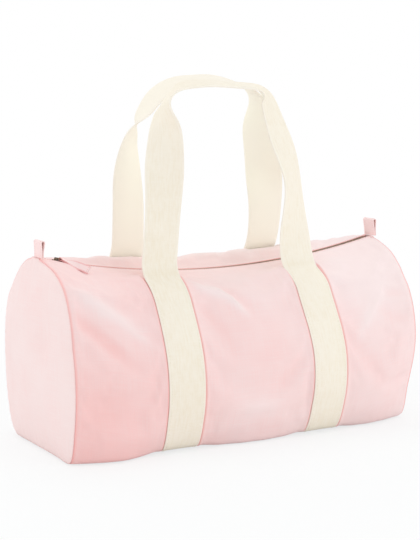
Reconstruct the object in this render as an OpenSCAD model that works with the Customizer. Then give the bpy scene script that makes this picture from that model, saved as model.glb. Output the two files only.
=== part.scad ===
// Barrel bag of cotton canvas with two webbing handles and a zip along the top.
// X runs along the bag, the front faces -Y and the bag stands on Z = 0.

/* [Canvas body] */
// Length between the two end seams
bag_l = 500; // [440:10:580]
// Height of the body at the end seams
bag_h = 245; // [225:5:280]
// Width of the body at the end seams
bag_w = 232; // [210:2:260]
// Thickness of the canvas
canvas_t = 1.2; // [0.8:0.1:1.6]
// Height of the domes of the filled end panels
dome_h = 14; // [6:1:22]
// Rise of the back shoulder above a level top, at mid length
back_rise = 28; // [4:1:30]
// Rise of the front shoulder above a level top, at mid length
front_rise = 4; // [0:1:5]
// Swell of the body between the webbing bands
body_swell = 3.5; // [0:0.5:6]
// Lift of the bottom at the right-hand end
corner_lift = 6; // [0:1:12]
// Width of the allowance turned in at the end seams
seam_w = 10; // [6:1:14]
// Thickness of the bound seam allowance
seam_t = 2.4; // [1.6:0.2:3.2]

/* [Webbing] */
// Width of the webbing
web_w = 50; // [40:1:56]
// Thickness of the webbing
web_t = 2.5; // [1.8:0.1:3.2]
// Distance between the middles of the two bands
strap_gap = 208; // [190:2:230]
// Height of the handle tops above the point where they leave the body
handle_rise = 242; // [180:2:300]
// How far each handle top leans in over the bag
handle_lean = 34; // [30:1:34]

/* [Zip] */
// Drop of the zip at mid length below its ends
zip_sag = 30; // [20:1:36]
// Width of one zip tape
tape_w = 12; // [10:0.5:12.5]
// Thickness of the zip tape
tape_t = 0.8; // [0.6:0.1:1]
// Half width of the gap between the folded canvas edges
slot_half = 5.2; // [5.2:0.1:6]
// Distance from one tooth to the next on the same tape
tooth_pitch = 3.4; // [3.2:0.1:4.2]
// Length of a tooth along the zip
tooth_l = 1.4; // [1:0.05:1.5]
// Height of a tooth across the tape
tooth_h = 2.6; // [2.4:0.1:2.8]
// Reach of a tooth from the middle of the zip over its own tape
tooth_reach = 3; // [2.9:0.1:3.1]

/* [Slider] */
// Length of the slider along the zip
slider_l = 12.5; // [11:0.5:14]
// Width of the slider at its mouth
slider_w = 9.4; // [9:0.1:9.6]
// Thickness of a slider plate
plate_t = 1; // [0.8:0.1:1.2]
// Width of the crown that holds the wire ring
crown_w = 2.2; // [1.8:0.1:2.4]
// Length of the crown
crown_l = 8; // [7.8:0.1:8.4]
// Thickness of the wire of the ring
wire_d = 1.4; // [1.2:0.1:1.5]
// Length of the wire ring
ring_l = 6.5; // [6:0.5:9]
// Width of the wire ring at its outer bar
ring_w = 15.2; // [15.2:0.1:17]
// Turn of the ring towards the front of the bag
ring_yaw = 54; // [50:1:58]
// Length of the fabric puller
puller_l = 42; // [30:1:46]
// Width of the fabric puller
puller_w = 10.6; // [8:0.2:10.6]
// Thickness of one layer of the puller
puller_t = 1.1; // [0.9:0.1:1.2]

/* [End loops] */
// Width of the folded loops at the ends of the zip
loop_w = 25; // [18:1:30]
// Height of the loops above the seam
loop_h = 24; // [20:1:30]
// Depth of the loops at their top
loop_d = 9.6; // [9:0.2:12]
// Thickness of the folded strip
loop_t = 1.5; // [1.2:0.1:1.8]
// Place of the loops in front of the middle of the zip
loop_shift = 4; // [0:1:6]
// Lean of the loops towards the middle of the bag, in degrees
loop_lean = 3; // [2:1:6]

/* [Hidden] */

// Clearance between pieces that move past each other
run_gap = 0.3;
// Clearance between pieces sewn or clamped together
seat_gap = 0.05;
// Overrun of cuts past the faces that they open
cut_over = 1;
// Gap between the canvas and the zip tape under it
hem_gap = 0.1;
// Gap between the canvas and the webbing sewn over it
band_gap = 0.2;
// Width of the flat hem beside the zip, from the middle of the zip
hem_half = 14;
// Facets of small round parts
round_fn = 32;

// Body places worked out from the sizes above
half_l = bag_l / 2;
half_w = bag_w / 2;
strap_x = strap_gap / 2;
band_margin = 4;
band_in = strap_x - web_w / 2 - band_margin;
band_out = strap_x + web_w / 2 + band_margin;
base_z = web_t + band_gap;
top_mid = bag_h - zip_sag;
top_r = (half_l * half_l + zip_sag * zip_sag) / (2 * zip_sag);
arc_z = top_mid + top_r;
top_lift = canvas_t + hem_gap + tape_t / 2;
tape_r = top_r + top_lift;

// Outline of the body from the hem to the middle of the bottom, as shares of half the
// width and of the height: the front is a full quarter round, the back falls sooner
front_shares = [[0.28, 0.987], [0.53, 0.955], [0.75, 0.886], [0.88, 0.79], [0.955, 0.685],
    [0.99, 0.57], [1, 0.44], [0.98, 0.29], [0.93, 0.16], [0.85, 0.065], [0.73, 0.012],
    [0.6, 0], [0.3, 0], [0, 0]];
back_shares = [[0.28, 0.985], [0.5, 0.935], [0.71, 0.85], [0.86, 0.755], [0.95, 0.65],
    [0.99, 0.54], [1, 0.42], [0.98, 0.28], [0.93, 0.16], [0.85, 0.065], [0.73, 0.012],
    [0.6, 0], [0.3, 0], [0, 0]];
// Span of the shoulders, as shares of half the width
shoulder_in_share = 0.12;
shoulder_out_share = 0.86;
// Rings of the domed end panels, as shares of the outline
dome_shares = [0.9, 0.72, 0.48, 0.22];
// Steps between the outline's points, and stations along each span of the body
outline_steps = 2;
end_stations = 6;
band_stations = 3;
mid_stations = 8;
// Nearer the zip than this share of half the width, the canvas follows the zip's arc
arc_share = 0.3;

// Handles, from the left root to the right one. Each row has the place along the bag as
// a share of half the strap gap, the height as a share of the rise, and the turn of the
// webbing in degrees, which is level with the body at both roots
front_handle_shares = [[-1, 0, 0], [-1, 0.04, 0], [-0.97, 0.12, 0], [-0.91, 0.3, -6], [-0.86, 0.46, -22],
    [-0.83, 0.58, -42], [-0.81, 0.69, -62], [-0.795, 0.78, -80], [-0.775, 0.85, -96],
    [-0.74, 0.905, -108], [-0.67, 0.945, -108], [-0.56, 0.972, -100], [-0.42, 0.99, -93],
    [-0.22, 0.999, -90], [0, 1, -90], [0.22, 0.997, -90], [0.4, 0.986, -91],
    [0.55, 0.964, -98], [0.66, 0.925, -114], [0.73, 0.868, -132], [0.77, 0.8, -145],
    [0.8, 0.735, -152], [0.845, 0.665, -155], [0.9, 0.59, -154], [0.95, 0.505, -149],
    [0.985, 0.41, -147], [0.995, 0.3, -154], [0.995, 0.17, -170], [1, 0.05, -180], [1, 0, -180]];
back_handle_shares = [[-1, 0, 0], [-1, 0.05, 0], [-0.985, 0.13, 1], [-0.965, 0.28, 4], [-0.955, 0.42, 12],
    [-0.955, 0.53, 24], [-0.955, 0.62, 39], [-0.94, 0.69, 54], [-0.9, 0.75, 70],
    [-0.84, 0.8, 82], [-0.75, 0.85, 88], [-0.63, 0.892, 90], [-0.47, 0.932, 90],
    [-0.26, 0.96, 90], [0, 0.968, 90], [0.22, 0.96, 90], [0.4, 0.94, 90], [0.55, 0.908, 89],
    [0.67, 0.86, 88], [0.745, 0.8, 90], [0.785, 0.735, 97], [0.82, 0.67, 107],
    [0.87, 0.6, 117], [0.92, 0.52, 129], [0.97, 0.44, 143], [1.01, 0.35, 158],
    [1.03, 0.25, 170], [1.02, 0.13, 177], [1, 0.05, 180], [1, 0, 180]];
// Slope of the handle tops towards the front, as a share of their width
handle_slope_share = 0.17;
handle_steps = 2;
// Root ends are half round: place and thickness, as shares of the webbing's thickness
root_end_shares = [[-0.5, 0.16], [-0.43, 0.56], [-0.25, 0.9], [0, 1]];

// Which outline points carry the handle roots, counted from the hem on each side
front_root_step = 4;
back_root_step = 4;

// Zip places, as lengths from the middle of the bag
tape_half_l = half_l - seam_t - 2 * run_gap;
teeth_left_inset = 21;
teeth_right_inset = 13;
teeth_start = half_l - teeth_left_inset;
teeth_end = half_l - teeth_right_inset;
stop_l = 3;
stop_gap = 0.5;
bead_r = 0.75;
bead_y = 1.9;
tooth_head = 0.9;
key_half = bead_r + 2 * seat_gap;
slider_inset = 28;
slider_rest_x = half_l - slider_inset;

// Slider heights above the middle of the tape
channel_half = tooth_h / 2 + run_gap + seat_gap;
channel_w = tooth_reach + run_gap + 2 * seat_gap;
flange_lip = tape_t / 2 + run_gap;
plate_top = channel_half + plate_t;
crown_wall = 1.1;
crown_h = wire_d + 2 * run_gap + crown_wall;
window_l = crown_l - 2 * crown_wall;
apex_z = plate_top + run_gap + wire_d / 2;
apex_half = 4.7;
fold_in = wire_d / 2 + run_gap;
fold_out = fold_in + puller_t;
bar_z = max(apex_z, plate_top + fold_out + run_gap);

// Catmull-Rom curve through a list of points
function curve(a, b, c, d, t) = 0.5 * (2 * b + (c - a) * t
    + (2 * a - 5 * b + 4 * c - d) * t * t + (3 * b - a - 3 * c + d) * t * t * t);
function smooth(p, k) = [for (i = [0 : len(p) - 2], j = [0 : k - 1])
    curve(p[max(i - 1, 0)], p[i], p[i + 1], p[min(i + 2, len(p) - 1)], j / k), p[len(p) - 1]];
function unit(v) = v / norm(v);
function flat(lists) = [for (l = lists) for (p = l) p];

// Height of the top of the body, along the arc of the zip
function top_z(x) = arc_z - sqrt(top_r * top_r - x * x);
// Place along the bag with the bands' width taken out, so the body is level under them
function eased(x) = let (a = abs(x)) a < band_in ? a * strap_x / band_in : a < band_out ? strap_x
    : strap_x + (a - band_out) * (half_l - strap_x) / (half_l - band_out);
function side_z(x) = top_mid + zip_sag * pow(eased(x) / half_l, 2);
function fullness(x) = 1 - pow(eased(x) / half_l, 2);
function swell(x) = let (a = abs(x)) a < band_in ? body_swell * pow(cos(90 * a / band_in), 2)
    : a < band_out ? 0 : body_swell * pow(sin(180 * (a - band_out) / (half_l - band_out)), 2);
function lift(x) = x < band_out ? 0 : corner_lift * pow((x - band_out) / (half_l - band_out), 2);
function shoulder(s) = s < shoulder_in_share || s > shoulder_out_share ? 0
    : sin(180 * (s - shoulder_in_share) / (shoulder_out_share - shoulder_in_share));
// One side of the section at x, from the hem down to the middle of the bottom
function side(x, shares, rise) = let (w = half_w + swell(x))
    smooth(concat([[hem_half, top_z(x)]], [for (s = shares)
        let (high = s[0] < arc_share ? top_z(x) : side_z(x)) [s[0] * w, max(base_z,
        base_z + (high - base_z) * s[1] + lift(x) * (1 - s[1])
        + rise * fullness(x) * shoulder(s[0]) * max(0, 2 * s[1] - 1))]]), outline_steps);
function mirrored(p) = [for (q = p) [-q[0], q[1]]];
function back_to_front(p) = [for (i = [len(p) - 2 : -1 : 0]) p[i]];
// Open section: front edge of the zip gap, down the front, under, up the back
function section(x) = [for (p = concat([[-slot_half, top_z(x)]],
    mirrored(side(x, front_shares, front_rise)), back_to_front(side(x, back_shares, back_rise)),
    [[slot_half, top_z(x)]])) [p[0], max(p[1], base_z)]];
// Outward direction of an outline at point i, which runs down the front and up the back
function edge_dir(p, i) = unit(p[min(i + 1, len(p) - 1)] - p[max(i - 1, 0)]);
function outward(p, i) = let (d = edge_dir(p, i)) [d[1], -d[0]];
function inset(p, d) = [for (i = [0 : len(p) - 1]) p[i] - outward(p, i) * d];
function at_x(x, p) = [for (q = p) [x, q[0], q[1]]];

// Stations of the body along X, closer near the seams
function spread(a, b, n) = [for (i = [0 : n - 1]) a + (b - a) * i / n];
station_xs = concat(spread(-half_l, -band_out, end_stations),
    spread(-band_out, -band_in, band_stations), spread(-band_in, band_in, mid_stations),
    spread(band_in, band_out, band_stations), spread(band_out, half_l, end_stations), [half_l]);

// Side faces of a skin over rings of n points, and the caps of an open wall
function skin_faces(rings, n) = [for (i = [0 : rings - 2], k = [0 : n - 1])
    let (a = i * n + k, b = i * n + (k + 1) % n, c = b + n, d = a + n) each [[a, d, c], [a, c, b]]];
function wall_cap(first, n, turned) = [for (j = [0 : n - 2])
    let (a = first + j, b = a + 1, c = first + 2 * n - 2 - j, d = c + 1)
    each turned ? [[a, d, c], [a, c, b]] : [[a, b, c], [a, c, d]]];
function turned_round(p) = [for (i = [len(p) - 1 : -1 : 0]) p[i]];

// Canvas wall of the body, open along the zip
module body_panel() {
    n = len(section(0));
    rings = [for (x = station_xs) let (s = section(x))
        at_x(x, concat(s, turned_round(inset(s, canvas_t))))];
    last = (len(rings) - 1) * 2 * n;
    color([0.96, 0.86, 0.86])
    polyhedron(flat(rings), concat(skin_faces(len(rings), 2 * n),
        wall_cap(0, n, false), wall_cap(last, n, true)), convexity = 8);
}

// Domed end panel, built for the left and mirrored for the right
module end_panel(side_sign) {
    rim = section(side_sign * half_l);
    inner = inset(rim, canvas_t);
    n = len(rim);
    mid = [0, bag_h / 2];
    function ring(p, s, x) = [for (q = p) let (r = mid + (q - mid) * s) [x, r[0], r[1]]];
    function dome_x(s) = -half_l - dome_h * (1 - s * s);
    outer_rings = concat([ring(rim, 1, -half_l)], [for (s = dome_shares) ring(rim, s, dome_x(s))]);
    inner_rings = concat([ring(inner, 1, -half_l)],
        [for (s = dome_shares) ring(inner, s, dome_x(s) + canvas_t)]);
    rings = concat(turned_round(outer_rings), inner_rings);
    tips = [[dome_x(0), mid[0], mid[1]], [dome_x(0) + canvas_t, mid[0], mid[1]]];
    total = len(rings) * n;
    mirror([side_sign > 0 ? 1 : 0, 0, 0])
    color([0.95, 0.88, 0.88])
    polyhedron(concat(flat(rings), tips), concat(skin_faces(len(rings), n),
        [for (k = [0 : n - 1]) [total, k, (k + 1) % n]],
        [for (k = [0 : n - 1]) [total + 1, total - n + (k + 1) % n, total - n + k]]), convexity = 6);
}
module left_end_panel() {
    end_panel(-1);
}
module right_end_panel() {
    end_panel(1);
}

// Bound seam allowance standing inwards round an end of the body
module seam_binding(side_sign) {
    rim = section(side_sign * (half_l - run_gap - seam_t));
    fit = canvas_t + 2 * run_gap;
    color([0.9, 0.78, 0.78])
    translate([side_sign * (half_l - run_gap - seam_t / 2) - seam_t / 2, 0, 0])
    rotate([90, 0, 90])
    linear_extrude(seam_t)
    difference() {
        polygon(inset(rim, fit));
        polygon(inset(rim, fit + seam_w));
    }
}
module left_seam_binding() {
    seam_binding(-1);
}
module right_seam_binding() {
    seam_binding(1);
}

// Section under the bands, and the middles of the handle roots just above the bands
band_path = section(strap_x);
front_root_i = front_root_step + 1;
back_root_i = len(band_path) - 2 - back_root_step;
root_lift = band_gap + web_t + web_t / 2 + run_gap;
front_root = band_path[front_root_i] + outward(band_path, front_root_i) * root_lift;
back_root = band_path[back_root_i] + outward(band_path, back_root_i) * root_lift;

// Webbing band sewn under the bag and up both sides
module band(x) {
    first = band_path[front_root_i] - edge_dir(band_path, front_root_i) * web_t;
    last = band_path[back_root_i] + edge_dir(band_path, back_root_i) * web_t;
    path = concat([first], [for (i = [front_root_i : back_root_i]) band_path[i]], [last]);
    inner = inset(path, -band_gap);
    outer = inset(path, -band_gap - web_t);
    color([0.95, 0.93, 0.87])
    translate([x - web_w / 2, 0, 0])
    rotate([90, 0, 90])
    linear_extrude(web_w)
    polygon(concat(inner, turned_round([for (p = outer) [p[0], max(p[1], 0)]])));
}
module left_band() {
    band(-strap_x);
}
module right_band() {
    band(strap_x);
}

// Flat webbing carried along a path: rows of [x, y, z, turn, thickness share]
module ribbon(rows) {
    n = len(rows);
    function place(i) = [rows[i][0], rows[i][1], rows[i][2]];
    function along(i) = unit(place(min(i + 1, n - 1)) - place(max(i - 1, 0)));
    function across(i) = let (a = rows[i][3], t = along(i),
        w = [cos(a), sin(a), handle_slope_share * sin(a)]) unit(w - t * (w * t));
    function ring(i) = let (w = across(i) * web_w / 2,
        m = cross(unit(w), along(i)) * web_t / 2 * rows[i][4])
        [place(i) - w + m, place(i) + w + m, place(i) + w - m, place(i) - w - m];
    last = 4 * (n - 1);
    polyhedron(flat([for (i = [0 : n - 1]) ring(i)]), concat(skin_faces(n, 4),
        [[0, 1, 2], [0, 2, 3], [last + 3, last + 2, last + 1], [last + 3, last + 1, last]]),
        convexity = 8);
}
function handle_rows(root, lean, shares) = [for (s = smooth(shares, handle_steps))
    [s[0] * strap_x, root[0] + lean * s[1], root[1] + s[1] * handle_rise, s[2], 1]];
function root_rows(row) = [for (s = root_end_shares)
    [row[0], row[1], row[2] + s[0] * web_t, row[3], s[1]]];
function inner_rows(rows) = [for (i = [1 : len(rows) - 2]) rows[i]];
module handle(root, lean, shares) {
    rows = handle_rows(root, lean, shares);
    color([0.96, 0.94, 0.88])
    ribbon(concat(root_rows(rows[0]), inner_rows(rows), turned_round(root_rows(rows[len(rows) - 1]))));
}
module front_handle() {
    handle(front_root, handle_lean, front_handle_shares);
}
module back_handle() {
    handle(back_root, -handle_lean, back_handle_shares);
}

// Folded strip standing up from an end seam, open from front to back
loop_axis_z = bag_h + loop_t + run_gap;
module end_loop(side_sign) {
    r = loop_d / 2;
    top = loop_h - r;
    color([0.96, 0.8, 0.79])
    translate([side_sign * half_l, loop_w / 2 - loop_shift, loop_axis_z])
    rotate([0, side_sign * -loop_lean, 0])
    rotate([90, 0, 0])
    linear_extrude(loop_w)
    difference() {
        union() {
            translate([0, top]) circle(r, $fn = round_fn);
            circle(loop_t, $fn = round_fn);
            polygon([[-loop_t, 0], [loop_t, 0], [r, top], [-r, top]]);
        }
        translate([0, top]) circle(r - loop_t, $fn = round_fn);
        polygon([[0, loop_t], [r - loop_t, top], [loop_t - r, top]]);
    }
}
module left_end_loop() {
    end_loop(-1);
}
module right_end_loop() {
    end_loop(1);
}

// Puts a piece on the arc of the zip at a distance from the middle of the bag
module on_zip(x) {
    translate([0, 0, arc_z])
    rotate([0, -asin(x / tape_r), 0])
    translate([0, 0, -tape_r])
    children();
}

// Zip tape: a bent strip with a bead along its inner edge
module zip_tape(side_sign) {
    sweep = 2 * asin(tape_half_l / tape_r);
    color([0.94, 0.82, 0.82])
    translate([0, 0, arc_z])
    rotate([90, 0, 0])
    rotate([0, 0, 270 - sweep / 2])
    rotate_extrude(angle = sweep, $fn = 360)
    mirror([0, side_sign > 0 ? 1 : 0])
    union() {
        translate([tape_r - tape_t / 2, bead_y]) square([tape_t, tape_w + tooth_head - bead_y]);
        translate([tape_r, bead_y]) circle(bead_r, $fn = round_fn);
    }
}
module front_zip_tape() {
    zip_tape(-1);
}
module back_zip_tape() {
    zip_tape(1);
}

// One tooth: a head over the middle of the zip and two jaws round the bead of its tape
module tooth() {
    top = tooth_h / 2;
    slot = tape_t / 2 + seat_gap;
    jaw = bead_y + bead_r + seat_gap;
    throat = bead_y - bead_r - seat_gap;
    key_slope = key_half - slot;
    half = [[tooth_head, 0], [tooth_head, tooth_head], [tooth_head / 3, top], [-tooth_reach, top],
        [-tooth_reach, slot], [-jaw, slot], [key_slope - jaw, key_half], [-throat - key_slope, key_half],
        [-throat, slot], [-throat, 0]];
    lower = [for (i = [len(half) - 2 : -1 : 1]) [half[i][0], -half[i][1]]];
    translate([-tooth_l / 2, 0, 0])
    rotate([90, 0, 90])
    linear_extrude(tooth_l)
    polygon(concat(half, lower));
}
module zip_teeth(side_sign, shift) {
    count = floor((teeth_start + teeth_end) / tooth_pitch);
    color([0.6, 0.5, 0.38])
    for (i = [0 : count - 1])
        on_zip(-teeth_start + (i + shift) * tooth_pitch)
        mirror([0, side_sign > 0 ? 1 : 0, 0])
        tooth();
}
module front_zip_teeth() {
    zip_teeth(-1, 0);
}
module back_zip_teeth() {
    zip_teeth(1, 0.5);
}

// Clips that stop the slider: one on each bead at the left, one across both at the right
module stop_clip(inner_y) {
    top = tooth_h / 2;
    difference() {
        translate([-stop_l / 2, -tooth_reach, -top]) cube([stop_l, tooth_reach - inner_y, tooth_h]);
        translate([-stop_l / 2 - cut_over, -tooth_reach - cut_over, -tape_t / 2 - seat_gap])
            cube([stop_l + 2 * cut_over, tooth_reach + cut_over - bead_y, tape_t + 2 * seat_gap]);
        translate([-stop_l / 2 - cut_over, -bead_y, 0]) rotate([0, 90, 0])
            cylinder(h = stop_l + 2 * cut_over, r = bead_r + seat_gap, $fn = round_fn);
    }
}
module zip_top_stops() {
    color([0.55, 0.45, 0.33])
    on_zip(stop_gap - teeth_start - tooth_pitch - stop_l / 2)
    for (m = [0, 1]) mirror([0, m, 0]) stop_clip(bead_y - bead_r - 2 * seat_gap);
}
module zip_bottom_stop() {
    color([0.55, 0.45, 0.33])
    on_zip(teeth_end + stop_l / 2 + stop_gap)
    for (m = [0, 1]) mirror([0, m, 0]) stop_clip(0);
}

// Plan of the slider: round lobes at the mouth, on the left, and a narrower tail
module slider_plan() {
    lobe = slider_w / 4;
    tail_half = channel_w + plate_t / 2;
    union() {
        for (s = [-1, 1]) translate([lobe - slider_l / 2, s * lobe]) circle(lobe, $fn = round_fn);
        polygon([[-slider_l / 2, -lobe], [-slider_l / 2, lobe], [lobe - slider_l / 2, slider_w / 2],
            [slider_l / 2 - plate_t, tail_half], [slider_l / 2, tail_half - plate_t],
            [slider_l / 2, plate_t - tail_half], [slider_l / 2 - plate_t, -tail_half],
            [lobe - slider_l / 2, -slider_w / 2]]);
    }
}
// Plate with a flange down each side, which guides the teeth and clears the tape
module slider_plate() {
    translate([0, 0, channel_half]) linear_extrude(plate_t) slider_plan();
    translate([0, 0, flange_lip]) linear_extrude(channel_half - flange_lip)
    difference() {
        slider_plan();
        square([slider_l + 2 * cut_over, 2 * channel_w], center = true);
    }
}
module slider_top_plate() {
    color([0.36, 0.28, 0.2])
    on_zip(-slider_rest_x)
    slider_plate();
}
module slider_bottom_plate() {
    color([0.36, 0.28, 0.2])
    on_zip(-slider_rest_x)
    mirror([0, 0, 1])
    slider_plate();
}

// Crown: a small bridge on the top plate with a window for the ring
module slider_crown() {
    corner = crown_wall;
    color([0.4, 0.31, 0.22])
    on_zip(-slider_rest_x)
    translate([0, crown_w / 2, plate_top])
    rotate([90, 0, 0])
    linear_extrude(crown_w)
    difference() {
        union() {
            translate([-crown_l / 2, 0]) square([crown_l, crown_h - corner]);
            translate([corner - crown_l / 2, 0]) square([crown_l - 2 * corner, crown_h]);
            for (s = [-1, 1]) translate([s * (crown_l / 2 - corner), crown_h - corner])
                circle(corner, $fn = round_fn);
        }
        translate([-window_l / 2, -cut_over]) square([window_l, crown_h - crown_wall + cut_over]);
    }
}

// Wire between two points, with a round joint a little thicker than the wire
module wire(a, b) {
    d = b - a;
    translate(a)
    rotate([0, acos(d[2] / norm(d)), atan2(d[1], d[0])])
    cylinder(h = norm(d), d = wire_d, $fn = round_fn);
    translate(a) sphere(d = wire_d + 2 * seat_gap, $fn = round_fn);
}
// Ring of wire through the crown: narrow bar inside, wide bar under the fabric
module puller_ring() {
    outer_half = (ring_w - wire_d) / 2;
    corners = [[0, -apex_half, apex_z], [0, apex_half, apex_z],
        [ring_l, outer_half, bar_z], [ring_l, -outer_half, bar_z]];
    color([0.4, 0.32, 0.24])
    on_zip(-slider_rest_x)
    rotate([0, 0, -ring_yaw])
    for (i = [0 : 3]) wire(corners[i], corners[(i + 1) % 4]);
}

// Folded canvas puller: a fold round the outer bar and two layers sewn flat
module zip_puller() {
    tail_z = top_lift + 2 * run_gap + puller_t - bar_z;
    tip = puller_l - puller_t / 2;
    wall_mid = fold_in + puller_t / 2;
    color([0.96, 0.8, 0.79])
    on_zip(-slider_rest_x)
    rotate([0, 0, -ring_yaw])
    translate([ring_l, puller_w / 2, bar_z])
    rotate([90, 0, 0])
    difference() {
        union() {
            cylinder(h = puller_w, r = fold_out, $fn = round_fn);
            linear_extrude(puller_w)
            polygon([[0, fold_in / 2], [0, wall_mid], [2 * fold_out, tail_z + puller_t],
                [tip, tail_z + puller_t], [puller_l, tail_z + puller_t / 2],
                [puller_l, tail_z - puller_t / 2], [tip, tail_z - puller_t],
                [2 * fold_out, tail_z - puller_t], [0, -wall_mid], [0, -fold_in / 2]]);
        }
        translate([0, 0, -cut_over])
            cylinder(h = puller_w + 2 * cut_over, r = fold_in, $fn = round_fn);
    }
}

body_panel();
left_end_panel();
right_end_panel();
left_seam_binding();
right_seam_binding();
left_band();
right_band();
front_handle();
back_handle();
left_end_loop();
right_end_loop();
front_zip_tape();
back_zip_tape();
front_zip_teeth();
back_zip_teeth();
zip_top_stops();
zip_bottom_stop();
slider_top_plate();
slider_bottom_plate();
slider_crown();
puller_ring();
zip_puller();
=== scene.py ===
import math

import bpy
import numpy as np
from mathutils import Matrix


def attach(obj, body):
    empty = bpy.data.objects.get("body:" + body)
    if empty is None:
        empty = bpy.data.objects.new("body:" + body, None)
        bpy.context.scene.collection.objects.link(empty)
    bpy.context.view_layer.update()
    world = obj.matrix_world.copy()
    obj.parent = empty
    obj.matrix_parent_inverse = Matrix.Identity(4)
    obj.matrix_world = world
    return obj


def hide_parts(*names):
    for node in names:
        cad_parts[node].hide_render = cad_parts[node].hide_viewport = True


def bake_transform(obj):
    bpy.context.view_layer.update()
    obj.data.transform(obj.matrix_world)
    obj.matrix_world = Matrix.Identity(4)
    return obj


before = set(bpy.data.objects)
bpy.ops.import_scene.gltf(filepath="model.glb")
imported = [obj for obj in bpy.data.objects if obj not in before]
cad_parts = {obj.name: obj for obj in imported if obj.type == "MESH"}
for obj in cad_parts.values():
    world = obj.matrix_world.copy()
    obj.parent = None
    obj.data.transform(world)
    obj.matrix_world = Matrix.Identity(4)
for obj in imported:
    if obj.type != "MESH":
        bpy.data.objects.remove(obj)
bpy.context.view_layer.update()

# Barrel bag: filled canvas body, webbing straps that go on as handles, curved zip.
# Shapes are worked out in millimetres and written to the meshes in metres.
mm = 0.001
pi = math.pi
joined = np.concatenate


def catmull(points, t):
    # smooth curve through the rows of points, t counts the points from 0
    points = np.asarray(points, float)
    last = points.shape[-2] - 1
    i = np.clip(np.floor(t).astype(int), 0, last - 1)
    f = (t - i)[:, None]
    a, b = points[..., np.maximum(i - 1, 0), :], points[..., i, :]
    c, d = points[..., i + 1, :], points[..., np.minimum(i + 2, last), :]
    return 0.5 * (2 * b + (c - a) * f + (2 * a - 5 * b + 4 * c - d) * f**2
                  + (3 * b - a - 3 * c + d) * f**3)


def ease(a, b, x):
    # 0 up to a, 1 past b, an even S between them
    f = np.clip((np.asarray(x, float) - a) / (b - a), 0, 1)
    return f * f * (3 - 2 * f)


def unit(v):
    # directions brought to length 1
    return v / np.linalg.norm(v, axis=-1, keepdims=True)


def bell(away, reach):
    # 1 in the middle, falling off alike to both sides
    return np.exp(-(away / reach)**2)


def ridge(away, size, at, reach):
    # a bell of a given size and reach, with its middle at a distance
    return size * bell(away - at, reach)


def bumps(u, v, table):
    # sum of round bumps, each with its two places, two reaches and size
    return sum(size * bell(u - atU, reachU) * bell(v - atV, reachV)
               for atU, atV, reachU, reachV, size in table)


def spread(*parts):
    # values spread over one grid and stacked as the columns of its places
    return np.stack(np.broadcast_arrays(*parts), -1)


def squareTo(v, axis):
    # what is left of each direction at right angles to its unit axis
    return v - axis * np.sum(v * axis, 1, keepdims=True)


def turned(a, b, angle):
    # two sides of a right angle, both turned by an angle
    return a * np.cos(angle) + b * np.sin(angle), b * np.cos(angle) - a * np.sin(angle)


def upwards(x):
    # the upward direction, once for every place
    return np.tile([0.0, 0, 1], (len(x), 1))


def lengthAlong(p):
    # distance travelled along a line of points
    return joined([[0], np.cumsum(np.linalg.norm(np.diff(p, axis=0), axis=1))])


def evenly(p, step, *others):
    # points at equal distances along a line, with other values carried along
    far = lengthAlong(p)
    at = np.linspace(0, far[-1], int(round(far[-1] / step)) + 1)
    return [np.stack([np.interp(at, far, v[:, k]) for k in range(v.shape[1])], 1)
            for v in (p, *others)]


def soften(p, blur, weight):
    # bell-shaped average along the line, mixed in by weight; the ends carry straight on
    reach = int(3 * blur) + 1
    share = np.exp(-0.5 * (np.arange(-reach, reach + 1) / blur)**2)
    share /= share.sum()
    wide = np.pad(p, ((reach, reach), (0, 0)), mode="reflect", reflect_type="odd")
    mean = np.stack([np.convolve(wide[:, k], share, "valid") for k in range(p.shape[1])], 1)
    return p + (mean - p) * weight[:, None]


def gridFaces(rows, columns, aroundRows=False, aroundColumns=True):
    # four-sided faces between neighbours of a grid, closed in either direction
    r = np.arange(rows if aroundRows else rows - 1)[:, None]
    c = np.arange(columns if aroundColumns else columns - 1)[None]
    below, beside = (r + 1) % rows, (c + 1) % columns
    return spread(r * columns + c, r * columns + beside,
                  below * columns + beside, below * columns + c).reshape(-1, 4)


def wallCap(first, columns):
    # end of a thin wall whose outline goes out on one face and back on the other
    j = np.arange(columns // 2 - 1)
    return first + np.stack([j, j + 1, columns - 2 - j, columns - 1 - j], 1)


def inScene(name, data, axes=np.eye(3), place=(0, 0, 0)):
    # object whose own directions are the given axes, at a place in metres
    made = bpy.data.objects.new(name, data)
    spot = np.eye(4)
    spot[:3, :3], spot[:3, 3] = np.transpose(axes), place
    made.matrix_world = Matrix(spot.tolist())
    bpy.context.scene.collection.objects.link(made)
    return made


def makePiece(name, points, faces, material, uv=None, marks=None):
    # mesh from points in millimetres; faces are turned so that the volume is positive
    points = np.asarray(points, float).reshape(-1, 3)
    volume = 0
    for f in faces:
        a = points[f[:, 0]]
        for k in range(1, f.shape[1] - 1):
            volume += np.sum(a * np.cross(points[f[:, k]], points[f[:, k + 1]]))
    faces = [f[:, ::-1] if volume < 0 else f for f in faces]
    corners = joined([f.ravel() for f in faces]).astype(np.int32)
    sizes = joined([np.full(len(f), f.shape[1]) for f in faces])
    mesh = bpy.data.meshes.new(name)
    mesh.vertices.add(len(points))
    mesh.vertices.foreach_set("co", (points * mm).ravel())
    mesh.loops.add(len(corners))
    mesh.loops.foreach_set("vertex_index", corners)
    mesh.polygons.add(len(sizes))
    mesh.polygons.foreach_set("loop_start", (np.cumsum(sizes) - sizes).astype(np.int32))
    mesh.polygons.foreach_set("use_smooth", np.ones(len(sizes), bool))
    mesh.update(calc_edges=True)
    if uv is not None:
        layer = mesh.uv_layers.new(name="cloth")
        layer.data.foreach_set("uv", (np.asarray(uv).reshape(-1, 2) * mm)[corners].ravel())
    for key, value in (marks or {}).items():
        mark = mesh.attributes.new(key, "FLOAT", "POINT")
        mark.data.foreach_set("value", np.ascontiguousarray(value, np.float32).ravel())
    mesh.materials.append(material)
    return inScene(name, mesh)


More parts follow.
